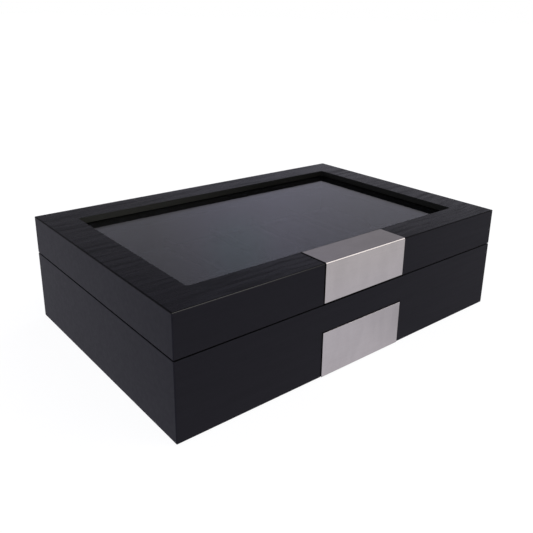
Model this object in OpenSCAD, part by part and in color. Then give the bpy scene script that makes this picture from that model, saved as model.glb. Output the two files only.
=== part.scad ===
// Watch box with a glass window in its lid: a veneered base and lid on two stop hinges,
// a suede-lined tray with two rows of cushions, and brushed steel plates on the front.
// Millimetres. The origin is the centre of the underside: +X right, -Y front, +Z up.

/* [Box] */
// Outside width, left to right
box_w = 310; // [270:1:360]
// Outside depth, front to back
box_d = 208; // [184:1:240]
// Height of the line where lid and base meet
base_h = 56; // [52:1:70]
// Height of the lid above that line
lid_h = 30; // [28:1:42]
// Thickness of the base's boards
base_wall_t = 10; // [9.5:0.5:13]
// Round-over on the outside edges
edge_r = 0.9; // [0.6:0.1:2]
// Round-over on the two rims that meet
rim_r = 0.5; // [0.3:0.1:1.4]
// Round-over on the base's lower edges
foot_r = 0.5; // [0.3:0.1:1]
// Gap between the two rims of the closed box
rim_gap = 0.7; // [0.25:0.05:0.9]

/* [Window] */
// Thickness of the frame round the window
frame_t = 5; // [4.5:0.5:8]
// Width of the frame round the window
frame_w = 25; // [22:0.5:32]
// Radius of the window's corners
window_corner_r = 2; // [1:0.5:10]
// Thickness of the pane
glass_t = 3; // [2:0.5:4]
// How far the pane reaches under the frame
glass_overlap = 7; // [5:0.5:9]
// Clearance round the pane's edge
glass_gap = 0.3; // [0.2:0.1:0.8]
// Clearance between the pane and the frame above it
glass_top_gap = 0.4; // [0.1:0.1:0.6]
// Thickness of the retainer's ledge below the pane
retainer_ledge_t = 4; // [2.5:0.5:4.5]
// How far the retainer's opening stands back from the window's edge
retainer_setback = 1; // [0.5:0.5:3]

/* [Underside] */
// Thickness of the bottom panel
bottom_t = 4; // [3:0.5:6]
// Depth of the rebate that takes the bottom panel
bottom_rebate = 5; // [3:0.5:7]
// Thickness of the felt
felt_t = 0.8; // [0.5:0.1:1.5]
// Distance from the box's edge to the felt's edge
felt_inset = 1.5; // [1:0.5:4]
// Radius of the felt's corners
felt_corner_r = 3; // [1:0.5:8]

/* [Lining] */
// Thickness of the lining boards
liner_t = 3; // [2:0.5:3.5]
// How far the base's lining stands up inside the lid
lip_h = 6; // [4:0.5:8]
// Clearance between that lining and the lid's boards
lip_gap = 0.6; // [0.5:0.1:0.9]
// Gap between the two linings
lining_gap = 1.5; // [1:0.5:2.5]
// Thickness of the tray's floor
floor_t = 2; // [1.5:0.5:3]
// Thickness of the dividers
divider_t = 3; // [2:0.5:4]
// Height of the dividers above the tray's floor
divider_h = 39; // [30:1:44]
// Compartments in each row
columns = 6; // [5:1:7]

/* [Cushions] */
// Height of a cushion
cushion_h = 41; // [38:1:44]
// Radius of a cushion's ends
cushion_end_r = 18; // [10:1:19]
// Clearance between a cushion and the dividers beside it
cushion_side_gap = 0.6; // [0.4:0.1:1.5]
// Clearance at each end of a cushion
cushion_end_gap = 4.75; // [2:0.25:8]
// Clearance below a cushion
cushion_seat_gap = 0.2; // [0.15:0.05:0.4]

/* [Plates] */
// Width of both plates
plate_w = 79.5; // [60:0.5:100]
// Thickness of both plates
plate_t = 1.2; // [0.9:0.1:1.6]
// How far the plates stand proud of the wood
plate_proud = 0.5; // [0.1:0.05:0.6]
// Gap round the plates in their recesses
plate_gap = 0.8; // [0.3:0.1:0.9]
// Inside radius of the bend in the lid's plate
plate_bend_r = 0.3; // [0.2:0.1:1]
// How much rounder the wooden edge under that bend is
bend_relief = 0.3; // [0.2:0.1:0.6]
// Distance from the lid line up to the lid's plate
plate_rim_margin = 1.2; // [1:0.1:3]
// Distance from the lid's plate to the window
plate_window_margin = 1.3; // [1.1:0.1:4]
// Height of the base's plate
base_plate_h = 34.1; // [25:0.1:44]

/* [Hinges] */
// Distance from the box's end to the middle of a hinge
hinge_inset = 60; // [40:1:80]
// Length of a hinge
hinge_l = 32; // [30:1:40]
// Distance from the back face out to the hinge axis
axis_out = 1.2; // [1:0.1:1.4]
// Thickness of the leaves
leaf_t = 1.2; // [1:0.1:1.4]
// Distance from the lining to the leaves
leaf_margin = 1.5; // [1.2:0.1:2]
// Radius of the barrel
barrel_r = 2.25; // [2.1:0.05:2.5]
// Radius of the pin
pin_r = 1; // [0.8:0.05:1.1]
// Clearance of the pin in the base's knuckles
pin_fixed_gap = 0.02; // [0.01:0.01:0.03]
// Clearance of the pin in the lid's knuckles
pin_run_gap = 0.06; // [0.04:0.01:0.09]
// Number of knuckles in a barrel
knuckles = 5; // [3:2:7]
// Gap between neighbouring knuckles
knuckle_gap = 0.2; // [0.15:0.05:0.4]
// Clearance of a knuckle to whatever turns round it
barrel_gap = 0.35; // [0.3:0.05:0.4]
// How far the lid opens, in degrees
open_angle = 95; // [90:1:105]
// Play that is left between the stops of the open lid, in degrees
stop_play = 1.3; // [0.8:0.1:2]
// Thickness of the stops
stop_t = 1; // [0.8:0.1:1.2]
// How far the stops reach past the clearance round the barrel
stop_reach = 1.6; // [1.2:0.1:2]

/* [Screws and magnets] */
// Radius of a screw's shank
screw_r = 0.9; // [0.7:0.05:1]
// Radius of a screw's head
screw_head_r = 1.8; // [1.5:0.1:1.9]
// Length of a screw
screw_l = 8; // [6:0.5:12]
// Length of a screw's point
screw_point_l = 1.8; // [1:0.1:2.5]
// Radius of the flat at a screw's tip
screw_tip_r = 0.2; // [0.1:0.05:0.4]
// Distance between the screws of one leaf
screw_pitch = 11; // [9:0.5:12]
// Clearance round a screw's head and shank
screw_gap = 0.05; // [0.02:0.01:0.08]
// Width of the slots in a screw's head
screw_slot_w = 0.5; // [0.4:0.05:0.6]
// Depth of the slots in a screw's head
screw_slot_depth = 0.45; // [0.3:0.05:0.5]
// Radius of a magnet
magnet_r = 3; // [2.5:0.1:3.4]
// Thickness of a magnet
magnet_t = 3; // [2:0.5:4]
// Distance from the middle of the front to each magnet
magnet_x = 25; // [15:1:35]
// Clearance round a magnet
magnet_gap = 0.05; // [0.02:0.01:0.1]
// Gap that is left between the magnets of the closed box
magnet_face_gap = 0.04; // [0.03:0.01:0.08]

/* [Hidden] */
$fn = 96;

// Colours
veneer_colour = [0.13, 0.13, 0.14];
suede_colour = [0.20, 0.20, 0.21];
cushion_colour = [0.27, 0.27, 0.28];
felt_colour = [0.08, 0.08, 0.09];
steel_colour = [0.72, 0.71, 0.72];
pin_colour = [0.55, 0.55, 0.56];
magnet_colour = [0.62, 0.62, 0.63];
glass_colour = [0.32, 0.33, 0.37, 0.55];

// How far a cut runs past the face that it opens
past = 1;

// Heights of the base
base_rim_z = base_h - rim_gap/2;
panel_top_z = felt_t + bottom_t;
floor_top_z = panel_top_z + floor_t;
lip_top_z = base_h + lip_h;

// Heights of the lid
lid_rim_z = base_h + rim_gap/2;
lid_top_z = base_h + lid_h;
frame_low_z = lid_top_z - frame_t;
glass_top_z = frame_low_z - glass_top_gap;
glass_low_z = glass_top_z - glass_t;
retainer_low_z = glass_low_z - retainer_ledge_t;
lid_liner_low_z = lip_top_z + lining_gap;

// Plan sizes
lid_wall_t = base_wall_t - lip_gap;
well_w = box_w - 2*base_wall_t;
well_d = box_d - 2*base_wall_t;
lid_well_w = box_w - 2*lid_wall_t;
lid_well_d = box_d - 2*lid_wall_t;
window_w = box_w - 2*frame_w;
window_d = box_d - 2*frame_w;
glass_w = window_w + 2*glass_overlap;
glass_d = window_d + 2*glass_overlap;
tray_w = well_w - 2*liner_t;
tray_d = well_d - 2*liner_t;
column_w = (tray_w - (columns - 1)*divider_t)/columns;
row_d = (tray_d - divider_t)/2;
cushion_w = column_w - 2*cushion_side_gap;
cushion_d = row_d - 2*cushion_end_gap;

// Plates
recess_depth = plate_t - plate_proud;
plate_low_z = base_h + plate_rim_margin;
plate_back_y = -window_d/2 - plate_window_margin;
base_plate_top_z = felt_t + base_plate_h;

// Hinges
axis_y = box_d/2 + axis_out;
hinge_x = box_w/2 - hinge_inset;
knuckle_l = (hinge_l - (knuckles - 1)*knuckle_gap)/knuckles;
clear_r = barrel_r + barrel_gap;
leaf_front_y = well_d/2 + leaf_margin;
stop_angle = (open_angle + stop_play)/2 + atan(stop_t/2/clear_r);
screw_y = (leaf_front_y + axis_y - clear_r)/2;
screw_head_t = screw_head_r - screw_r;

// Magnets
magnet_y = -box_d/2 + base_wall_t/2;
base_magnet_top_z = base_h - magnet_face_gap/2;
lid_magnet_low_z = base_h + magnet_face_gap/2;
lid_magnet_top_z = lid_magnet_low_z + magnet_t;

// A rectangle from the origin whose lower and upper corners are rounded
module soft_rect(w, h, low_r, high_r) {
    translate([0, low_r]) square([w, h - low_r - high_r]);
    translate([low_r, 0]) square([w - 2*low_r, h/2]);
    translate([high_r, h/2]) square([w - 2*high_r, h/2]);
    for (x = [low_r, w - low_r]) translate([x, low_r]) circle(low_r);
    for (x = [high_r, w - high_r]) translate([x, h - high_r]) circle(high_r);
}

// The same rectangle with equal corners, centred on the origin
module soft_plan(w, d, r) {
    translate([-w/2, -d/2]) soft_rect(w, d, r, r);
}

// A flat shape of the Y-Z plane, drawn out along X and centred on it
module along_x(length) {
    translate([-length/2, 0, 0]) rotate([90, 0, 90]) linear_extrude(length) children();
}

// A block that stands on Z = 0, rounded on its upright, lower and upper edges
module soft_block(w, d, h, side_r, low_r, high_r) {
    intersection() {
        linear_extrude(h) soft_plan(w, d, side_r);
        along_x(w) translate([-d/2, 0]) soft_rect(d, h, low_r, high_r);
        rotate([0, 0, 90]) along_x(d) translate([-w/2, 0]) soft_rect(w, h, low_r, high_r);
    }
}

// A rod along X from the origin
module rod_x(r, length) {
    rotate([0, 90, 0]) cylinder(r = r, h = length);
}

// One side of a rectangular ring of boards: turned to its place, for the front's own form
module on_side(side) {
    turn = side == "front" ? 0 : side == "right" ? 90 : side == "back" ? 180 : 270;
    rotate([0, 0, turn]) children();
}
function length_of(side, w, d) = side == "front" || side == "back" ? w : d;
function width_of(side, w, d) = side == "front" || side == "back" ? d : w;

// The room of one board in a ring w by d outside and t thick, mitred at both ends
module mitred_room(side, w, d, t, h) {
    long = length_of(side, w, d)/2;
    deep = width_of(side, w, d)/2;
    on_side(side) linear_extrude(h) polygon([
        [-long - past, -deep - past], [long + past, -deep - past],
        [long - t, -deep + t], [-long + t, -deep + t]
    ]);
}

// A mitred lining board that stands on Z = 0, with its top edge rounded
module lining_board(side, w, d, t, h) {
    intersection() {
        on_side(side) along_x(length_of(side, w, d))
            translate([-width_of(side, w, d)/2, 0]) round_topped(t, h);
        mitred_room(side, w, d, t, h + past);
    }
}

// The section of a board whose top is a half circle
module round_topped(t, h) {
    square([t, h - t/2]);
    translate([t/2, h - t/2]) circle(t/2);
}

// A mitred board of the outside, t thick, whose face is rounded at both ends and at the lid line.
// It stands from low_z up to cut_z, where the whole side would reach high_z.
module outer_board(side, t, low_z, high_z, cut_z, low_r, high_r) {
    deep = width_of(side, box_w, box_d);
    intersection() {
        linear_extrude(high_z + past) soft_plan(box_w, box_d, edge_r);
        translate([0, 0, low_z]) on_side(side) along_x(length_of(side, box_w, box_d) + 2*past)
            translate([-deep/2, 0]) soft_rect(deep, high_z - low_z, low_r, high_r);
        mitred_room(side, box_w, box_d, t, cut_z);
    }
}

// The section behind a surface that comes up the front and turns back over the top
module corner_section(front_y, top_z, r) {
    reach = -front_y;
    translate([front_y, r]) square([reach, top_z - 2*r]);
    translate([front_y + r, top_z - 2*r]) square([reach - r, 2*r]);
    translate([front_y + r, top_z - r]) circle(r);
}

// The base's boards
module base_wall(side) {
    color(veneer_colour) difference() {
        outer_board(side, base_wall_t, felt_t, base_rim_z, base_h, foot_r, rim_r);
        bottom_panel_room();
        if (side == "front") {
            base_plate_recess();
            magnet_pair(base_magnet_top_z - magnet_t, magnet_r + magnet_gap, magnet_t + past);
        }
        if (side == "back") hinge_pair() base_hinge_mortise();
    }
}

// The room of the bottom panel in its rebate
module bottom_panel_room() {
    w = well_w + 2*bottom_rebate;
    d = well_d + 2*bottom_rebate;
    translate([-w/2, -d/2, felt_t - past]) cube([w, d, bottom_t + past]);
}

module base_bottom_panel() {
    w = well_w + 2*bottom_rebate;
    d = well_d + 2*bottom_rebate;
    color(felt_colour) translate([-w/2, -d/2, felt_t]) cube([w, d, bottom_t]);
}

module underside_felt() {
    color(felt_colour) linear_extrude(felt_t)
        soft_plan(box_w - 2*felt_inset, box_d - 2*felt_inset, felt_corner_r);
}

// The base's plate and the shallow recess that it sits in
module base_front_plate() {
    color(steel_colour) translate([-plate_w/2, -box_d/2 - plate_proud, felt_t])
        cube([plate_w, plate_t, base_plate_h]);
}
module base_plate_recess() {
    w = plate_w + 2*plate_gap;
    translate([-w/2, -box_d/2 - past, felt_t - past])
        cube([w, recess_depth + past, base_plate_h + plate_gap + past]);
}

// The tray: floor, lining, and dividers that are halved over each other
module tray_floor() {
    color(suede_colour) translate([-well_w/2, -well_d/2, panel_top_z])
        cube([well_w, well_d, floor_t]);
}
module base_liner(side) {
    color(suede_colour) translate([0, 0, floor_top_z])
        lining_board(side, well_w, well_d, liner_t, lip_top_z - floor_top_z);
}
function divider_x(i) = -tray_w/2 + i*column_w + (i - 0.5)*divider_t;
module centre_divider() {
    color(suede_colour) difference() {
        translate([0, 0, floor_top_z]) along_x(tray_w)
            translate([-divider_t/2, 0]) round_topped(divider_t, divider_h);
        for (i = [1:columns - 1])
            translate([divider_x(i) - divider_t/2, -divider_t, floor_top_z + divider_h/2])
                cube([divider_t, 2*divider_t, divider_h]);
    }
}
module cross_divider(i) {
    color(suede_colour) translate([divider_x(i), 0, floor_top_z]) difference() {
        rotate([0, 0, 90]) along_x(tray_d)
            translate([-divider_t/2, 0]) round_topped(divider_t, divider_h);
        translate([-divider_t, -divider_t/2, -past])
            cube([2*divider_t, divider_t, divider_h/2 + past]);
    }
}

// A cushion for one watch, whose strap goes round it from front to back
module cushion(row, i) {
    x = -tray_w/2 + (i - 0.5)*column_w + (i - 1)*divider_t;
    y = (row == "front" ? -1 : 1)*(divider_t + row_d)/2;
    color(cushion_colour) translate([x, y, floor_top_z + cushion_seat_gap])
        along_x(cushion_w) translate([-cushion_d/2, 0])
            soft_rect(cushion_d, cushion_h, cushion_end_r, cushion_end_r);
}

// The lid's boards
module lid_wall(side) {
    color(veneer_colour) difference() {
        outer_board(side, lid_wall_t, lid_rim_z, lid_top_z, frame_low_z, rim_r, edge_r);
        if (side == "front") {
            clasp_recess();
            magnet_pair(lid_rim_z - past, magnet_r + magnet_gap, lid_magnet_top_z - lid_rim_z + past);
        }
        if (side == "back") hinge_pair() lid_hinge_mortise();
    }
}

// The frame that covers the lid's boards and surrounds the window
module lid_top_frame() {
    color(veneer_colour) difference() {
        translate([0, 0, lid_rim_z])
            soft_block(box_w, box_d, lid_top_z - lid_rim_z, edge_r, rim_r, edge_r);
        translate([-box_w, -box_d, 0]) cube([2*box_w, 2*box_d, frame_low_z]);
        linear_extrude(lid_top_z + past) soft_plan(window_w, window_d, window_corner_r);
        clasp_recess();
    }
}

module glass_pane() {
    color(glass_colour) translate([-glass_w/2, -glass_d/2, glass_low_z])
        cube([glass_w, glass_d, glass_t]);
}

// The frame below the pane, rebated to take it
module glass_retainer() {
    pocket_w = glass_w + 2*glass_gap;
    pocket_d = glass_d + 2*glass_gap;
    color(suede_colour) difference() {
        translate([-lid_well_w/2, -lid_well_d/2, retainer_low_z])
            cube([lid_well_w, lid_well_d, frame_low_z - retainer_low_z]);
        translate([-pocket_w/2, -pocket_d/2, glass_low_z]) cube([pocket_w, pocket_d, glass_t + past]);
        linear_extrude(lid_top_z)
            soft_plan(window_w + 2*retainer_setback, window_d + 2*retainer_setback, window_corner_r);
    }
}

module lid_liner(side) {
    color(suede_colour) intersection() {
        translate([-lid_well_w/2, -lid_well_d/2, lid_liner_low_z])
            cube([lid_well_w, lid_well_d, retainer_low_z - lid_liner_low_z]);
        mitred_room(side, lid_well_w, lid_well_d, liner_t, retainer_low_z);
    }
}

// The lid's plate: up the front, and back over the top to the window
module lid_clasp_plate() {
    color(steel_colour) intersection() {
        along_x(plate_w) difference() {
            corner_section(-box_d/2 - plate_proud, lid_top_z + plate_proud, plate_bend_r + plate_t);
            corner_section(-box_d/2 + recess_depth, lid_top_z - recess_depth, plate_bend_r);
        }
        translate([-plate_w, -box_d, plate_low_z])
            cube([2*plate_w, box_d + plate_back_y, lid_h]);
    }
}
module clasp_recess() {
    intersection() {
        along_x(plate_w + 2*plate_gap) difference() {
            translate([-box_d, 0]) square([box_d, lid_top_z + past]);
            corner_section(-box_d/2 + recess_depth, lid_top_z - recess_depth, plate_bend_r + bend_relief);
        }
        translate([-plate_w, -box_d, plate_low_z - plate_gap])
            cube([2*plate_w, box_d + plate_back_y + plate_gap, lid_h]);
    }
}

// Both hinges, and both pairs of magnets
module hinge_pair() {
    for (side = ["left", "right"]) at_hinge(side) children();
}
module at_hinge(side) {
    translate([side == "left" ? -hinge_x : hinge_x, 0, 0]) children();
}
module magnet_pair(low_z, r, h) {
    for (x = [-magnet_x, magnet_x]) translate([x, magnet_y, low_z]) cylinder(r = r, h = h);
}

// The screws of one leaf, at their heads' faces
module at_screws() {
    for (i = [-1:1]) translate([i*screw_pitch, screw_y, 0]) children();
}

// A countersunk screw that hangs down from Z = 0, or the hole that it needs
module screw() {
    difference() {
        rotate_extrude() screw_profile(0);
        for (turn = [0, 90]) rotate([0, 0, turn])
            translate([-screw_head_r, -screw_slot_w/2, -screw_slot_depth])
                cube([2*screw_head_r, screw_slot_w, screw_slot_depth + past]);
    }
}
module screw_hole() {
    rotate_extrude() {
        screw_profile(screw_gap);
        square([screw_head_r + screw_gap, past]);
    }
}
// Half of the screw's section, grown all round by a clearance
module screw_profile(gap) {
    polygon([
        [0, 0], [screw_head_r + gap, 0], [screw_r + gap, -screw_head_t],
        [screw_r + gap, -screw_l + screw_point_l], [screw_tip_r + gap, -screw_l - gap], [0, -screw_l - gap]
    ]);
}

// Half of a hinge at X = 0: its leaf from low_z up, and every second knuckle from number first
module hinge_half(first, low_z, bore_r, stop_turn) {
    difference() {
        union() {
            translate([-hinge_l/2, leaf_front_y, low_z])
                cube([hinge_l, axis_y - clear_r - leaf_front_y, leaf_t]);
            for (k = [first:2:knuckles - 1])
                translate([-hinge_l/2 + k*(knuckle_l + knuckle_gap), 0, 0]) {
                    translate([0, leaf_front_y, low_z])
                        cube([knuckle_l, axis_y - leaf_front_y, leaf_t]);
                    translate([0, axis_y, base_h]) rod_x(barrel_r, knuckle_l);
                    translate([0, axis_y, base_h]) rotate([stop_turn, 0, 0])
                        translate([0, pin_r + barrel_gap, -stop_t/2])
                            cube([knuckle_l, barrel_r, stop_t]);
                }
            translate([0, axis_y, base_h]) rotate([stop_turn, 0, 0])
                translate([-hinge_l/2, clear_r, -stop_t/2])
                    cube([hinge_l, stop_reach, stop_t]);
        }
        translate([-hinge_l/2 - past, axis_y, base_h]) rod_x(bore_r, hinge_l + 2*past);
    }
}
module hinge_base_leaf() {
    color(steel_colour) difference() {
        hinge_half(0, base_rim_z - leaf_t, pin_r + pin_fixed_gap, -stop_angle);
        translate([0, 0, base_rim_z]) at_screws() screw_hole();
    }
}
module hinge_lid_leaf() {
    color(steel_colour) difference() {
        hinge_half(1, lid_rim_z, pin_r + pin_run_gap, stop_angle);
        translate([0, 0, lid_rim_z]) at_screws() mirror([0, 0, 1]) screw_hole();
    }
}
module hinge_pin() {
    color(pin_colour) translate([-hinge_l/2, axis_y, base_h]) rod_x(pin_r, hinge_l);
}

// The cuts for a hinge: the leaf's mortise, room for the barrel and holes for the screws
module base_hinge_mortise() {
    hinge_cut(base_rim_z - leaf_t);
    translate([0, 0, base_rim_z]) at_screws() screw_hole();
}
module lid_hinge_mortise() {
    hinge_cut(lid_rim_z - past);
    translate([0, 0, lid_rim_z]) at_screws() mirror([0, 0, 1]) screw_hole();
}
module hinge_cut(low_z) {
    translate([-hinge_l/2, leaf_front_y, low_z])
        cube([hinge_l, axis_y - leaf_front_y, leaf_t + past]);
    translate([-hinge_l/2 - barrel_gap, axis_y, base_h]) rod_x(clear_r, hinge_l + 2*barrel_gap);
}

// All screws of one side of both hinges
module base_hinge_screws() {
    color(pin_colour) hinge_pair() translate([0, 0, base_rim_z]) at_screws() screw();
}
module lid_hinge_screws() {
    color(pin_colour) hinge_pair() translate([0, 0, lid_rim_z]) at_screws() mirror([0, 0, 1]) screw();
}

module base_catch_magnets() {
    color(magnet_colour) magnet_pair(base_magnet_top_z - magnet_t, magnet_r, magnet_t);
}
module lid_catch_magnets() {
    color(magnet_colour) magnet_pair(lid_magnet_low_z, magnet_r, magnet_t);
}

for (side = ["front", "back", "left", "right"]) {
    base_wall(side);
    base_liner(side);
    lid_wall(side);
    lid_liner(side);
}
base_bottom_panel();
underside_felt();
base_front_plate();
tray_floor();
centre_divider();
for (i = [1:columns - 1])
    cross_divider(i);
for (row = ["front", "back"], i = [1:columns])
    cushion(row, i);
for (side = ["left", "right"]) {
    at_hinge(side) hinge_base_leaf();
    at_hinge(side) hinge_lid_leaf();
    at_hinge(side) hinge_pin();
}
base_hinge_screws();
base_catch_magnets();
lid_top_frame();
glass_pane();
glass_retainer();
lid_clasp_plate();
lid_hinge_screws();
lid_catch_magnets();
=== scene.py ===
import math

import bmesh
import bpy
from mathutils import Matrix, Quaternion, Vector


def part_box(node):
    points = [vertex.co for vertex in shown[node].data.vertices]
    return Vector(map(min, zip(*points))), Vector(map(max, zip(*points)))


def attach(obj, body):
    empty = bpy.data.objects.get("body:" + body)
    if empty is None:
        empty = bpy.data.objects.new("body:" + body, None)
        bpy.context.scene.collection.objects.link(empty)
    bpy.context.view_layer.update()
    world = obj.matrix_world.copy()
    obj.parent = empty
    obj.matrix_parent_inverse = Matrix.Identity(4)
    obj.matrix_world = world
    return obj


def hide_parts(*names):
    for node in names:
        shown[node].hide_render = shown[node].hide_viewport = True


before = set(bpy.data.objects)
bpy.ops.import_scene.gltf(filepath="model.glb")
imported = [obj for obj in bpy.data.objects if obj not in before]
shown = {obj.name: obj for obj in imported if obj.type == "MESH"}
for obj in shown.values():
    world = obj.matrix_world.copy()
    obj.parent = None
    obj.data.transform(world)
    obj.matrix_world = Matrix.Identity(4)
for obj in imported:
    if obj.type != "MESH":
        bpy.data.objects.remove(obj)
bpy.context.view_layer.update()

# --- Camera ---
# A studio camera in front of the box's left end, raised above the lid and looking down on it.
# It keeps the whole box in a square picture, with room on every side.
mm = 0.001
camera_place = Vector((-306.1, -371.7, 241.4)) * mm
camera_turn = math.radians(49.78)
camera_drop = math.radians(18.52)
camera_roll = math.radians(1.14)
level_aim = Vector((math.cos(camera_turn), math.sin(camera_turn), 0))
camera_aim = level_aim * math.cos(camera_drop) - Vector((0, 0, math.sin(camera_drop)))
lens = bpy.data.cameras.new("studio_camera")
lens.lens = 42.11
lens.sensor_width = 36
lens.shift_x = -0.0256
lens.shift_y = -0.0874
lens.clip_start = 10 * mm
camera = bpy.data.objects.new("studio_camera", lens)
camera.rotation_mode = "QUATERNION"
camera.rotation_quaternion = camera_aim.to_track_quat("-Z", "Y") @ Quaternion((0, 0, 1), camera_roll)
camera.location = camera_place
scene = bpy.context.scene
scene.collection.objects.link(camera)
scene.camera = camera
scene.view_settings.view_transform = "Standard"


# --- Table and studio light ---
# A wide white table under the box, in a grey studio with a pale, patchy card behind it to the right.
# A soft key lamp stands in front on the right, and four plain fill lamps light the box from every side.
def node(tree, kind, feeds=None, **settings):
    """Adds a shader node: feeds gives an input its number, its colour or the socket that runs into it."""
    made = tree.nodes.new("ShaderNode" + kind)
    for name, value in settings.items():
        setattr(made, name, value)
    for name, value in (feeds or {}).items():
        if isinstance(value, bpy.types.NodeSocket):
            tree.links.new(value, made.inputs[name])
        else:
            made.inputs[name].default_value = value
    return made


def scaled(tree, value, low, high, to_low=0.0, to_high=1.0):
    """A value between low and high, carried to the range to_low to to_high and held there."""
    feeds = {"Value": value, "From Min": low, "From Max": high, "To Min": to_low, "To Max": to_high}
    return node(tree, "MapRange", feeds).outputs["Result"]


def maths(tree, operation, first, second=0.0):
    """One sum on two values."""
    return node(tree, "Math", {0: first, 1: second}, operation=operation).outputs[0]


def blended(tree, share, first, second):
    """A colour between first and second."""
    mixer = node(tree, "Mix", {"Factor": share}, data_type="RGBA")
    for socket, value in ((mixer.inputs[6], first), (mixer.inputs[7], second)):
        if isinstance(value, bpy.types.NodeSocket):
            tree.links.new(value, socket)
        else:
            socket.default_value = value
    return mixer.outputs[2]


def tone(red, green, blue):
    """A colour with full opacity."""
    return (red, green, blue, 1.0)


table_radius = 20.0
table_sides = 96
table_shade = 0.12
table_glow = 0.9
table_sheen = 0.67
table_gap = 0.2 * mm
table_mesh = bmesh.new()
bmesh.ops.create_circle(table_mesh, cap_ends=True, segments=table_sides, radius=table_radius)
bmesh.ops.translate(table_mesh, verts=table_mesh.verts, vec=(0, 0, -table_gap))
table_data = bpy.data.meshes.new("table")
table_mesh.to_mesh(table_data)
table_mesh.free()
table = bpy.data.objects.new("table", table_data)
scene.collection.objects.link(table)

table_white = bpy.data.materials.new("white table")
table_white.use_nodes = True
tree = table_white.node_tree
tree.nodes.clear()
rays = node(tree, "LightPath").outputs
seen = maths(tree, "MAXIMUM", rays["Is Camera Ray"], rays["Is Transmission Ray"])
spot = node(tree, "SeparateXYZ", {0: node(tree, "TexCoord").outputs["Object"]}).outputs
# Painted shade: as mirrored in steel and glass, the table is darker just in front of the box and to its
# right.
shaded_near_sheen = scaled(tree, spot["X"], 25 * mm, 75 * mm, 1.04 * table_sheen, 0.83 * table_sheen)
sheen = scaled(tree, spot["Y"], -170 * mm, -145 * mm, table_sheen, shaded_near_sheen)
mirrored = maths(tree, "MULTIPLY", rays["Is Glossy Ray"], sheen)
bright = maths(tree, "MAXIMUM", maths(tree, "MULTIPLY", seen, table_glow), mirrored)
# Painted reflection: the table as mirrored is tinted warm near the box and cool further off, though it
# looks white.
near_cast = tone(1, 0.975, 0.99)
far_cast = tone(1, 0.98, 1.06)
cast = blended(tree, scaled(tree, spot["Y"], -250 * mm, -180 * mm), near_cast, far_cast)
glow_tint = blended(tree, rays["Is Glossy Ray"], tone(1, 1, 1), cast)
glow = node(tree, "Emission", {"Color": glow_tint, "Strength": bright})
paint = node(tree, "BsdfDiffuse", {"Color": tone(table_shade, table_shade, table_shade)})
both = node(tree, "AddShader", {0: glow.outputs[0], 1: paint.outputs[0]})
node(tree, "OutputMaterial", {"Surface": both.outputs[0]})
table_data.materials.append(table_white)

card_dim = 0.263
card_bright = 0.358
patch_place = (0.555, 0.758, 0.368)
patch_middle = 0.02
patch_edge = 0.07
studio = bpy.data.worlds.new("grey studio")
studio.use_nodes = True
tree = studio.node_tree
tree.nodes.clear()
direction = node(tree, "TexCoord").outputs["Generated"]
facing = node(tree, "SeparateXYZ", {0: direction}).outputs
height = scaled(tree, facing["Z"], 0.02, 0.14)
fading = maths(
    tree, "MULTIPLY", scaled(tree, facing["Z"], 0.26, 0.4, 1.0, 0.97),
    scaled(tree, facing["Y"], 0.5, 0.72, 0.9, 1.06))
blueness = maths(
    tree, "MULTIPLY", scaled(tree, facing["X"], 0.45, 0.53, 1.09, 1.175),
    scaled(tree, facing["X"], 0.62, 0.72, 1.0, 0.94))
card = maths(tree, "MULTIPLY", scaled(tree, facing["X"], 0.43, 0.6, card_dim, card_bright), fading)
patch = node(tree, "VectorMath", {0: direction, 1: patch_place}, operation="DISTANCE").outputs["Value"]
card_red = maths(tree, "MULTIPLY", card, scaled(tree, patch, patch_middle, patch_edge, 0.94, 1.0))
card_green = maths(tree, "MULTIPLY", card, scaled(tree, patch, patch_middle, patch_edge, 1.025, 0.98))
card_blue = maths(tree, "MULTIPLY", card, blueness)
wall_tint = node(tree, "CombineColor", {0: card_red, 1: card_green, 2: card_blue}).outputs[0]
sky = blended(tree, height, tone(1, 1, 1), wall_tint)
rays = node(tree, "LightPath").outputs
turned = maths(tree, "ADD", rays["Diffuse Depth"], rays["Glossy Depth"])
straight = maths(tree, "MULTIPLY", rays["Is Transmission Ray"], maths(tree, "LESS_THAN", turned, 0.5))
behind = maths(tree, "MAXIMUM", rays["Is Camera Ray"], straight)
backdrop = blended(tree, behind, sky, tone(1, 1, 1))
ground = node(tree, "Background", {"Color": backdrop})
node(tree, "OutputWorld", {"Surface": ground.outputs[0]})
scene.world = studio


def soft_lamp(name, shines_from, power, spread, colour, mirrored=True):
    """A wide, far lamp that shines from a direction, and shows in steel and glass if it is mirrored."""
    light = bpy.data.lights.new(name, "SUN")
    light.energy = power
    light.color = colour
    light.angle = math.radians(spread)
    lamp = bpy.data.objects.new(name, light)
    lamp.rotation_mode = "QUATERNION"
    lamp.rotation_quaternion = Vector(shines_from).to_track_quat("Z", "Y")
    lamp.visible_glossy = mirrored
    lamp.visible_transmission = mirrored
    scene.collection.objects.link(lamp)


soft_lamp("key_lamp", (0.63, -0.5, 0.594), power=0.68, spread=40, colour=(1.0, 0.96, 0.9))
for name, shines_from, power, spread, colour in (
        ("front_fill", (0.15, -0.8, 0.5), 1.82, 100, (1.0, 0.99, 0.98)),
        ("left_fill", (-0.85, -0.3, 0.4), 1.5, 70, (0.88, 0.94, 1.25)),
        ("right_fill", (0.93, 0.15, 0.33), 1.3, 60, (0.97, 0.97, 1.02)),
        ("back_fill", (-0.5, 0.82, 0.28), 1.6, 40, (0.95, 0.96, 1.05))):
    soft_lamp(name, shines_from, power, spread, colour, mirrored=False)


# --- Boards of the base ---
# Four boards of fibreboard, mitred and glued at the corners, with their outer edges rounded over.
# Black-stained veneer covers them, its grain lying level, under a thin satin lacquer.
def finish_material(name):
    """A material with a Principled shader: gives the material, its node tree and the shader."""
    made = bpy.data.materials.new(name)
    made.use_nodes = True
    return made, made.node_tree, made.node_tree.nodes["Principled BSDF"]


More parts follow.
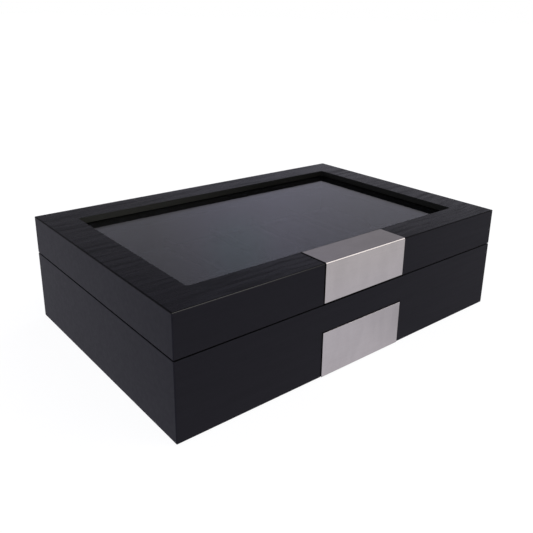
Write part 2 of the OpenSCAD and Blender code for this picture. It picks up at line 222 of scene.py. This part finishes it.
def set_plain(shader, **values):
    """Sets inputs that are the same all over, with _ for the space in a name."""
    for name, value in values.items():
        shader.inputs[name.replace("_", " ")].default_value = value


def effect_group(name, inputs, outputs):
    """A shader node group: inputs holds each input's kind and value, outputs each output's kind."""
    group = bpy.data.node_groups.new(name, "ShaderNodeTree")
    for label, (kind, value) in inputs.items():
        socket = group.interface.new_socket(label, in_out="INPUT", socket_type="NodeSocket" + kind)
        if value is not None:
            socket.default_value = value
    for label, kind in outputs.items():
        group.interface.new_socket(label, in_out="OUTPUT", socket_type="NodeSocket" + kind)
    return group, group.nodes.new("NodeGroupInput").outputs, group.nodes.new("NodeGroupOutput").inputs


def join_up(tree, joints):
    """Links each pair of sockets, from the first to the second."""
    for start, end in joints:
        tree.links.new(start, end)


def placed_group(tree, group, **values):
    """A group in a material, read at the piece's own place, with these values on its inputs."""
    values["Place"] = node(tree, "TexCoord").outputs["Object"]
    return node(tree, "Group", values, node_tree=group)


def dress(material, nodes):
    """Gives each of these CAD nodes this material in all its slots."""
    for name in nodes:
        for slot in shown[name].material_slots:
            slot.link = "OBJECT"
            slot.material = material


deep_stain = tone(0.0091, 0.0088, 0.0108)
thin_stain = tone(0.015, 0.0145, 0.0178)
# Near black: the boards' painted rims, and painted shade in the split and along the lid's rounded rim.
rim_stain_and_shade = tone(0.002, 0.002, 0.002)
grain_stretch = (0.05, 1.0, 1.0)
pore_depth = 0.05 * mm
lacquer_ior = 1.13
grain, given, result = effect_group("veneer grain", {
    "Place": ("Vector", None),
    "Dark": ("Color", deep_stain),
    "Light": ("Color", thin_stain),
    "Figure": ("Float", 0.5),
    "Wander": ("Float", 0.004),
    "Gloss": ("Float", 0.54),
}, {"Color": "Color", "Roughness": "Float", "Height": "Float"})
slow = node(grain, "TexNoise", {"Vector": given["Place"], "Scale": 14.0, "Detail": 2.0})
drift = maths(grain, "MULTIPLY", maths(grain, "SUBTRACT", slow.outputs[0], 0.5), given["Wander"])
sway = node(grain, "CombineXYZ", {1: drift, 2: drift}).outputs[0]
swayed = node(grain, "VectorMath", {0: given["Place"], 1: sway}, operation="ADD").outputs[0]
along = node(grain, "Mapping", {"Vector": swayed, "Scale": grain_stretch}).outputs[0]
bands = node(grain, "TexNoise", {"Vector": along, "Scale": 300.0, "Detail": 3.0}).outputs[0]
fibres = node(grain, "TexNoise", {"Vector": along, "Scale": 1500.0, "Detail": 2.0}).outputs[0]
pores = scaled(grain, node(grain, "TexNoise", {"Vector": along, "Scale": 900.0}).outputs[0], 0.6, 0.7)
streaks = scaled(grain, maths(grain, "ADD", bands, maths(grain, "MULTIPLY", fibres, 0.5)), 0.55, 0.95)
centred = maths(grain, "MULTIPLY", maths(grain, "SUBTRACT", streaks, 0.5), given["Figure"])
share = maths(grain, "ADD", centred, 0.5)
join_up(grain, [
    (blended(grain, share, given["Dark"], given["Light"]), result["Color"]),
    (scaled(grain, maths(grain, "ADD", share, given["Gloss"]), 0.0, 2.0, 0.7, 0.1), result["Roughness"]),
    (maths(grain, "SUBTRACT", share, pores), result["Height"]),
])


def veneer_material(name, **look):
    """Black-stained veneer with its grain along the box's length, and its colour still to be linked."""
    made, tree, shader = finish_material(name)
    wood = placed_group(tree, grain, **look)
    height = wood.outputs["Height"]
    relief = node(tree, "Bump", {"Strength": 0.25, "Distance": pore_depth, "Height": height})
    join_up(tree, [
        (wood.outputs["Roughness"], shader.inputs["Roughness"]),
        (relief.outputs[0], shader.inputs["Normal"]),
    ])
    set_plain(shader, IOR=lacquer_ior, Specular_Tint=tone(0.87, 0.85, 1.0))
    return made, tree, shader, wood


board_veneer, tree, shader, wood = veneer_material("board veneer", Figure=0.15, Wander=0.003, Gloss=0.3)
# The up and down faces, the rims, are painted black; this also stands in for the shade in the split between
# lid and base.
level = node(tree, "SeparateXYZ", {0: node(tree, "TexCoord").outputs["Normal"]}).outputs["Z"]
rim = scaled(tree, maths(tree, "ABSOLUTE", level), 0.5, 0.9)
stained_and_shaded = blended(tree, rim, wood.outputs["Color"], rim_stain_and_shade)
tree.links.new(stained_and_shaded, shader.inputs["Base Color"])
dress(board_veneer, ["base_front_wall", "base_back_wall", "base_left_wall", "base_right_wall"])


# --- Bottom panel ---
# A thin board let into the base from below, painted black.
# The paint lies over pressed wood, whose chips still show as shallow bumps.
black_paint, tree, shader = finish_material("black paint")
chip_depth = 0.1 * mm
place = node(tree, "TexCoord").outputs["Object"]
chips = node(tree, "TexVoronoi", {"Vector": place, "Scale": 400.0}).outputs["Distance"]
mottle = node(tree, "TexNoise", {"Vector": place, "Scale": 60.0, "Detail": 3.0}).outputs[0]
painted = blended(tree, mottle, tone(0.006, 0.006, 0.006), tone(0.012, 0.012, 0.012))
relief = node(tree, "Bump", {"Strength": 0.3, "Distance": chip_depth, "Height": chips})
join_up(tree, [
    (painted, shader.inputs["Base Color"]),
    (scaled(tree, mottle, 0.3, 0.7, 0.5, 0.65), shader.inputs["Roughness"]),
    (relief.outputs[0], shader.inputs["Normal"]),
])
dress(black_paint, ["base_bottom_panel"])


# --- Felt under the box ---
# One sheet of black wool felt, cut with round corners and glued under the base.
# Its cut edge is a little soft, and its fibres lie every way.
def solid_box(low, high):
    """A bmesh block between two corners."""
    made = bmesh.new()
    bmesh.ops.create_cube(made, size=1.0)
    bmesh.ops.scale(made, verts=made.verts, vec=high - low)
    bmesh.ops.translate(made, verts=made.verts, vec=(low + high) / 2)
    return made


def rounded_edges(mesh, edges, radius, segments):
    """Rounds over these edges of a bmesh."""
    bmesh.ops.bevel(
        mesh, geom=edges, offset=radius, offset_type="OFFSET", affect="EDGES",
        segments=segments, profile=0.5, material=-1, clamp_overlap=True)


def edges_along(mesh, axis):
    """The edges of a bmesh that run along an axis, given as 0, 1 or 2."""
    near_enough = 0.999
    found = []
    for edge in mesh.edges:
        run = edge.verts[1].co - edge.verts[0].co
        if abs(run[axis]) > near_enough * run.length:
            found.append(edge)
    return found


def sharp_edges(mesh, angle=30):
    """The edges of a bmesh where two faces meet at more than an angle."""
    return [e for e in mesh.edges if len(e.link_faces) == 2 and e.calc_face_angle() > math.radians(angle)]


def finished_piece(name, mesh, material, body, slot, *stands_for):
    """Turns a bmesh into a smooth-shaded piece that rides on a body and stands for CAD nodes."""
    bmesh.ops.recalc_face_normals(mesh, faces=mesh.faces)
    data = bpy.data.meshes.new(name)
    mesh.to_mesh(data)
    mesh.free()
    data.shade_smooth()
    data.materials.append(material)
    piece = bpy.data.objects.new(name, data)
    scene.collection.objects.link(piece)
    piece.modifiers.new("even_shading", "WEIGHTED_NORMAL")
    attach(piece, body)
    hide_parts(*stands_for)
    return piece


pile_depth = 0.15 * mm
nap, given, result = effect_group("short nap", {
    "Place": ("Vector", None),
    "Dark": ("Color", tone(0.01, 0.01, 0.01)),
    "Light": ("Color", tone(0.02, 0.02, 0.02)),
    "Patch": ("Float", 40.0),
    "Pile": ("Float", 3000.0),
}, {"Color": "Color", "Roughness": "Float", "Height": "Float"})
brushed = node(nap, "TexNoise", {
    "Vector": given["Place"], "Scale": given["Patch"], "Detail": 3.0, "Distortion": 0.8}).outputs[0]
fibre = node(nap, "TexNoise", {
    "Vector": given["Place"], "Scale": given["Pile"], "Detail": 3.0, "Roughness": 0.7}).outputs[0]
lay = scaled(nap, brushed, 0.42, 0.62)
share = maths(nap, "ADD", maths(nap, "MULTIPLY", lay, 0.6), maths(nap, "MULTIPLY", fibre, 0.4))
join_up(nap, [
    (blended(nap, share, given["Dark"], given["Light"]), result["Color"]),
    (scaled(nap, lay, 0.0, 1.0, 0.96, 0.84), result["Roughness"]),
    (fibre, result["Height"]),
])


def napped_cloth(name, dark, light, patch, pile, sheen):
    """Felt or suede cloth: fine pile, lighter where it has been brushed the other way."""
    made, tree, shader = finish_material(name)
    cloth = placed_group(tree, nap, Dark=dark, Light=light, Patch=patch, Pile=pile).outputs
    relief = node(tree, "Bump", {"Strength": 0.5, "Distance": pile_depth, "Height": cloth["Height"]})
    join_up(tree, [
        (cloth["Color"], shader.inputs["Base Color"]),
        (cloth["Roughness"], shader.inputs["Roughness"]),
        (relief.outputs[0], shader.inputs["Normal"]),
    ])
    set_plain(shader, Sheen_Weight=sheen, Sheen_Roughness=0.5, Specular_IOR_Level=0.2)
    set_plain(shader, Sheen_Tint=tone(0.6, 0.6, 0.65))
    return made


felt_corner = 3.0 * mm
felt_edge = 0.25 * mm
black_felt = napped_cloth(
    "black felt", tone(0.004, 0.004, 0.004), tone(0.012, 0.012, 0.012),
    patch=90.0, pile=1800.0, sheen=0.1)
felt = solid_box(*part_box("underside_felt"))
rounded_edges(felt, edges_along(felt, axis=2), felt_corner, segments=6)
rounded_edges(felt, sharp_edges(felt), felt_edge, segments=2)
finished_piece("felt_sheet", felt, black_felt, "base", "felt", "underside_felt")


# --- Lower plate ---
# A piece of stainless strip let into the middle of the front and glued, standing half a millimetre proud.
# It is brushed along the box's length, with its edges just broken and a gap left round it, its cut faces
# painted black as the gap's shade.
lengthwise = (0.02, 1.0, 1.0)
front_to_back = (1.0, 0.05, 1.0)
dulled = 0.94
brightened = 1.05
line_depth = 0.02 * mm
broken_edge = 0.15 * mm
brushing, given, result = effect_group("brushing", {
    "Place": ("Vector", None),
    "Run": ("Vector", lengthwise),
    "Fineness": ("Float", 2500.0),
}, {"Streak": "Float", "Smudge": "Float"})
pulled = node(brushing, "VectorMath", {0: given["Place"], 1: given["Run"]}, operation="MULTIPLY").outputs[0]
lines = node(brushing, "TexNoise", {"Vector": pulled, "Scale": given["Fineness"], "Detail": 3.0}).outputs[0]
across = node(brushing, "Mapping", {"Vector": given["Place"], "Scale": (1.0, 1.0, 0.4)}).outputs[0]
smudge = node(brushing, "TexNoise", {"Vector": across, "Scale": 110.0, "Detail": 2.0}).outputs[0]
join_up(brushing, [
    (scaled(brushing, lines, 0.3, 0.7), result["Streak"]),
    (scaled(brushing, smudge, 0.35, 0.65), result["Smudge"]),
])


def steel_material(name, colour, roughness, run, fineness):
    """Brushed or turned steel: the fine lines run along the axes on which run is small."""
    made, tree, shader = finish_material(name)
    marks = placed_group(tree, brushing, Run=run, Fineness=fineness).outputs
    dull = tone(*(dulled * part for part in colour))
    bright = tone(*(brightened * part for part in colour))
    wiped = maths(tree, "MULTIPLY", maths(tree, "ADD", marks["Streak"], marks["Smudge"]), 0.5)
    worn = maths(tree, "ADD", maths(tree, "MULTIPLY", marks["Streak"], 0.06), roughness)
    haze = maths(tree, "ADD", worn, maths(tree, "MULTIPLY", marks["Smudge"], 0.02))
    relief = node(tree, "Bump", {"Strength": 0.06, "Distance": line_depth, "Height": marks["Streak"]})
    join_up(tree, [
        (blended(tree, wiped, dull, bright), shader.inputs["Base Color"]),
        (haze, shader.inputs["Roughness"]),
        (relief.outputs[0], shader.inputs["Normal"]),
    ])
    set_plain(shader, Metallic=1.0, Specular_Tint=tone(0.87, 0.855, 0.8))
    return made


brushed_steel = steel_material(
    "brushed plate", (0.48, 0.455, 0.452), roughness=0.18, run=lengthwise, fineness=2500.0)
# Painted shade: the plates' cut faces are near black, standing in for the shadow in the gap round each
# plate.
plate_edge_shade, tree, shader = finish_material("sheared edge")
scoring = placed_group(tree, brushing, Run=front_to_back, Fineness=1500.0).outputs["Streak"]
gap_shade_black = blended(tree, scoring, tone(0.001, 0.001, 0.001), tone(0.004, 0.004, 0.004))
tree.links.new(gap_shade_black, shader.inputs["Base Color"])
tree.links.new(scaled(tree, scoring, 0.0, 1.0, 0.6, 0.75), shader.inputs["Roughness"])
set_plain(shader, Specular_IOR_Level=0.1)


def sheared(mesh):
    """Marks the faces of a plate that were cut, which take the painted shade of the gap round the plate."""
    square_on = 0.9
    mesh.normal_update()
    for face in mesh.faces:
        turned_away = face.normal.y > square_on or face.normal.z < -square_on
        if turned_away or abs(face.normal.x) > square_on:
            face.material_index = 1


plate = solid_box(*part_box("base_front_plate"))
rounded_edges(plate, sharp_edges(plate), broken_edge, segments=2)
sheared(plate)
lower_plate = finished_piece(
    "lower_plate", plate, brushed_steel, "base", "brushed_plate", "base_front_plate")
lower_plate.data.materials.append(plate_edge_shade)


# --- Tray floor and linings of the base ---
# Thin boards wrapped in grey suede cloth, the wall linings mitred and standing proud to guide the lid.
# They are pressed in and glued, with the cloth folded over their top edges.
lining_suede = napped_cloth(
    "lining suede", tone(0.012, 0.012, 0.013), tone(0.021, 0.021, 0.0225),
    patch=38.0, pile=3000.0, sheen=0.25)
dress(lining_suede, ["tray_floor"] + [name for name in shown if name.startswith("base_liner_")])


# --- Dividers ---
# One long board and five short ones, each wrapped in the same suede.
# They are halved into each other and stand on the tray floor, glued between the linings.
cross_dividers = sorted(name for name in shown if name.startswith("cross_divider"))
dress(lining_suede, ["centre_divider"] + cross_dividers)


# --- Cushions ---
# Twelve soft cushions, one for each watch, whose strap goes round it from front to back.
# Each has a band of suede sewn to a panel at either side, filled with foam and soft wadding.
cushion_suede = napped_cloth(
    "cushion suede", tone(0.014, 0.014, 0.015), tone(0.025, 0.025, 0.0265),
    patch=55.0, pile=2600.0, sheen=0.24)
cushion_names = sorted(name for name in shown if name.startswith("cushion_"))
end_round = 18.0 * mm
panel_round = 2.0 * mm
spare = 1.6 * mm
blown_up = 10.0
cloth_grain = 3.5 * mm
fill_pressure = 4.0
fill_frames = 20
most_swell = 3.0 * mm
sew_inset = 2.6 * mm
sew_width = 1.1 * mm
sew_depth = 0.7 * mm


def cushion_block(size):
    """The cushion's cut shape before it is filled, centred on the origin."""
    made = solid_box(-size / 2, size / 2)
    rounded_edges(made, edges_along(made, axis=0), end_round - spare, segments=8)
    rounded_edges(made, sharp_edges(made, angle=60), panel_round, segments=3)
    return made


def applied(piece):
    """Replaces a piece's mesh by what its modifiers make of it, and takes them off."""
    as_modified = piece.evaluated_get(bpy.context.evaluated_depsgraph_get())
    data = bpy.data.meshes.new_from_object(as_modified)
    piece.modifiers.clear()
    piece.data = data


def filled(block):
    """Fills a cushion block like a pillow, by a cloth simulation at a larger scale."""
    bmesh.ops.scale(block, verts=block.verts, vec=Vector((blown_up,) * 3))
    data = bpy.data.meshes.new("pillow")
    block.to_mesh(data)
    block.free()
    pillow = bpy.data.objects.new("pillow", data)
    scene.collection.objects.link(pillow)
    remesh = pillow.modifiers.new("remesh", "REMESH")
    remesh.mode = "VOXEL"
    remesh.voxel_size = cloth_grain * blown_up
    remesh.use_smooth_shade = True
    applied(pillow)
    before = [v.co.copy() for v in pillow.data.vertices]
    cloth = pillow.modifiers.new("cloth", "CLOTH")
    cloth.settings.use_pressure = True
    cloth.settings.uniform_pressure_force = fill_pressure
    cloth.settings.effector_weights.gravity = 0.0
    for frame_number in range(1, fill_frames + 1):
        scene.frame_set(frame_number)
    applied(pillow)
    scene.frame_set(1)
    for vertex, start in zip(pillow.data.vertices, before):
        moved = vertex.co - start
        if moved.length > most_swell * blown_up:
            vertex.co = start + moved.normalized() * most_swell * blown_up
    return pillow


def sewn(mesh, size):
    """Draws the cloth in along the two seams that join the band to the side panels."""
    seam = size.x / 2 - sew_inset
    mesh.normal_update()
    for vertex in mesh.verts:
        off = (abs(vertex.co.x) - seam) / sew_width
        vertex.co -= vertex.normal * sew_depth * math.exp(-off * off)


first_low, first_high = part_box(cushion_names[0])
cushion_size = first_high - first_low
pillow = filled(cushion_block(cushion_size - Vector((2 * spare,) * 3)))
soft = bmesh.new()
soft.from_mesh(pillow.data)
bpy.data.objects.remove(pillow)
bmesh.ops.scale(soft, verts=soft.verts, vec=Vector((1 / blown_up,) * 3))
bmesh.ops.subdivide_edges(soft, edges=soft.edges, cuts=1, smooth=0.6, use_grid_fill=True)
sewn(soft, cushion_size)
low = Vector([min(v.co[k] for v in soft.verts) for k in range(3)])
high = Vector([max(v.co[k] for v in soft.verts) for k in range(3)])
stretch = Vector([cushion_size[k] / (high[k] - low[k]) for k in range(3)])
bmesh.ops.translate(soft, verts=soft.verts, vec=-(low + high) / 2)
bmesh.ops.scale(soft, verts=soft.verts, vec=stretch)
pillow_data = bpy.data.meshes.new("filled_cushion")
soft.to_mesh(pillow_data)
soft.free()
for number, name in enumerate(cushion_names):
    low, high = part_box(name)
    made = bmesh.new()
    made.from_mesh(pillow_data)
    turned = Matrix.Rotation(math.pi * (number % 2), 4, "Z")
    bmesh.ops.transform(made, verts=made.verts, matrix=Matrix.Translation((low + high) / 2) @ turned)
    piece = finished_piece(name + "_suede", made, cushion_suede, name, "cushion_suede", name)


# --- Hinges, screws and catch ---
# Two pairs of stainless leaves let into the back boards, each pair turning on a steel pin.
# Countersunk screws hold the leaves, and four nickel-plated magnets in the front boards keep the lid shut.
round_the_pin = (1.0, 0.02, 0.02)
every_way = (0.3, 0.3, 0.3)
leaf_steel = steel_material(
    "leaf steel", (0.42, 0.41, 0.42), roughness=0.28, run=lengthwise, fineness=2200.0)
turned_steel = steel_material(
    "turned steel", (0.38, 0.38, 0.39), roughness=0.24, run=round_the_pin, fineness=3500.0)
nickel = steel_material(
    "nickel plate", (0.5, 0.48, 0.45), roughness=0.12, run=every_way, fineness=2000.0)
dress(leaf_steel, [name for name in shown if name.startswith("hinge_") and "leaf" in name])
dress(turned_steel, ["hinge_pin_left", "hinge_pin_right", "base_hinge_screws", "lid_hinge_screws"])
dress(nickel, ["base_catch_magnets", "lid_catch_magnets"])


# --- Boards of the lid ---
# Four low boards, a little thinner than the base's, mitred and veneered in the same way.
# The veneer's figure runs on from the base across the split.
dress(board_veneer, ["lid_front_wall", "lid_back_wall", "lid_left_wall", "lid_right_wall"])


# --- Top of the lid ---
# A veneered board with the window cut out of it, glued on the lid's boards, its grain lengthwise.
# Hands have polished it to the right and rubbed its rim to the left of the clasp plate.
# The window's cut edge is stained black, with painted light making it paler and warmer towards the left.
top_veneer, tree, shader, wood = veneer_material("top veneer", Wander=0.012)
faced = node(tree, "SeparateXYZ", {0: node(tree, "TexCoord").outputs["Normal"]}).outputs
upward = faced["Z"]
along = node(tree, "SeparateXYZ", {0: node(tree, "TexCoord").outputs["Object"]}).outputs
flat = scaled(tree, upward, 0.6, 0.98)
join_up(tree, [
    # Painted shade: the upward faces take a far darker stain than the frame's sides, to hold back the light
    # that falls on them.
    (blended(tree, flat, deep_stain, tone(0.0026, 0.0025, 0.0035)), wood.inputs["Dark"]),
    (blended(tree, flat, thin_stain, tone(0.0064, 0.0062, 0.0084)), wood.inputs["Light"]),
    (scaled(tree, flat, 0.0, 1.0, 0.15, 1.0), wood.inputs["Figure"]),
    (scaled(tree, flat, 0.0, 1.0, 0.3, 0.9), wood.inputs["Gloss"]),
])
turning = maths(tree, "MULTIPLY", scaled(tree, upward, 0.2, 0.4), scaled(tree, upward, 0.97, 0.9))
bend = maths(tree, "MULTIPLY", turning, scaled(tree, upward, 0.85, 0.7))
to_front = maths(tree, "MULTIPLY", bend, scaled(tree, faced["Y"], -0.5, -0.2, 1.0, 0.0))
rubbed = maths(tree, "MULTIPLY", to_front, scaled(tree, along["X"], -100 * mm, 0.0, 0.95, 0.0))
worn_shine = scaled(tree, wood.outputs["Height"], 0.0, 1.0, 0.09, 0.18)
handled = maths(
    tree, "MULTIPLY", scaled(tree, along["X"], -140 * mm, 0.0, 0.38, 0.87),
    scaled(tree, along["X"], 100 * mm, 150 * mm, 1.0, 1.8))
level = scaled(tree, upward, 0.97, 0.998)
polished = maths(tree, "MULTIPLY", level, maths(tree, "MULTIPLY", handled, worn_shine))
pane_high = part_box("glass_pane")[1]
in_width = maths(tree, "LESS_THAN", maths(tree, "ABSOLUTE", along["X"]), pane_high.x)
in_depth = maths(tree, "LESS_THAN", maths(tree, "ABSOLUTE", along["Y"]), pane_high.y)
upright = scaled(tree, upward, 0.6, 0.3)
cut_edge = maths(tree, "MULTIPLY", maths(tree, "MULTIPLY", in_width, in_depth), upright)
# Painted light: the cut edge is paler and warmer to the left, as if lit from that side.
painted_light_fade = scaled(tree, along["X"], -90 * mm, 50 * mm)
cut_stain_and_light = blended(tree, painted_light_fade, tone(0.02, 0.02, 0.017), tone(0.006, 0.006, 0.005))
# Painted shade: the rounded rim turns near black, for a dark line along the lid's top edges.
rim_shaded = blended(tree, turning, wood.outputs["Color"], rim_stain_and_shade)
join_up(tree, [
    (blended(tree, cut_edge, rim_shaded, cut_stain_and_light), shader.inputs["Base Color"]),
    (maths(tree, "ADD", rubbed, polished), shader.inputs["Coat Weight"]),
])
set_plain(shader, Coat_Roughness=0.15)
dress(top_veneer, ["lid_top_frame"])


# --- Window glass ---
# A pane of lightly smoked float glass in a rebate under the top, held up by the retainer.
# It is clean, with only a breath of haze where a cloth has dried on it.
smoked_glass, tree, shader = finish_material("smoked glass")
haze = node(tree, "TexNoise", {
    "Vector": node(tree, "TexCoord").outputs["Object"], "Scale": 25.0, "Detail": 3.0}).outputs[0]
tree.links.new(scaled(tree, haze, 0.45, 0.75, 0.0, 0.03), shader.inputs["Roughness"])
set_plain(shader, Base_Color=tone(0.5, 0.52, 0.6), Transmission_Weight=1.0, IOR=1.5)
dress(smoked_glass, ["glass_pane"])


# --- Retainer and linings of the lid ---
# A suede-covered frame glued up under the glass, and four suede-covered strips glued below it.
# They line the lid's boards down to where the base's own lining comes up.
dress(lining_suede, ["glass_retainer"] + [name for name in shown if name.startswith("lid_liner_")])


# --- Clasp plate ---
# A strip of the same brushed stainless, bent over the lid's front edge and let in half a millimetre proud.
# It is glued down, and its bend is pressed to a small radius.
bend_radius = 1.5 * mm
plate_thickness = 1.2 * mm
low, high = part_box("lid_clasp_plate")
strip = bmesh.new()
foot = strip.verts.new((low.x, low.y, low.z))
fold = strip.verts.new((low.x, low.y, high.z))
tail = strip.verts.new((low.x, high.y, high.z))
strip_edges = [strip.edges.new((foot, fold)), strip.edges.new((fold, tail))]
swept = bmesh.ops.extrude_edge_only(strip, edges=strip_edges)["geom"]
moved = [part for part in swept if isinstance(part, bmesh.types.BMVert)]
bmesh.ops.translate(strip, verts=moved, vec=(high.x - low.x, 0, 0))
folds = [e for e in edges_along(strip, axis=0) if len(e.link_faces) == 2]
rounded_edges(strip, folds, bend_radius, segments=8)
bmesh.ops.recalc_face_normals(strip, faces=strip.faces)
if strip.faces[0].normal.dot(Vector((0, -1, 1))) < 0:
    bmesh.ops.reverse_faces(strip, faces=strip.faces)
bmesh.ops.solidify(strip, geom=strip.faces, thickness=plate_thickness)
rounded_edges(strip, sharp_edges(strip, angle=60), broken_edge, segments=2)
# Its cut faces also take the painted shade of the gap round it.
sheared(strip)
clasp_plate = finished_piece("clasp_plate", strip, brushed_steel, "lid", "brushed_plate", "lid_clasp_plate")
clasp_plate.data.materials.append(plate_edge_shade)
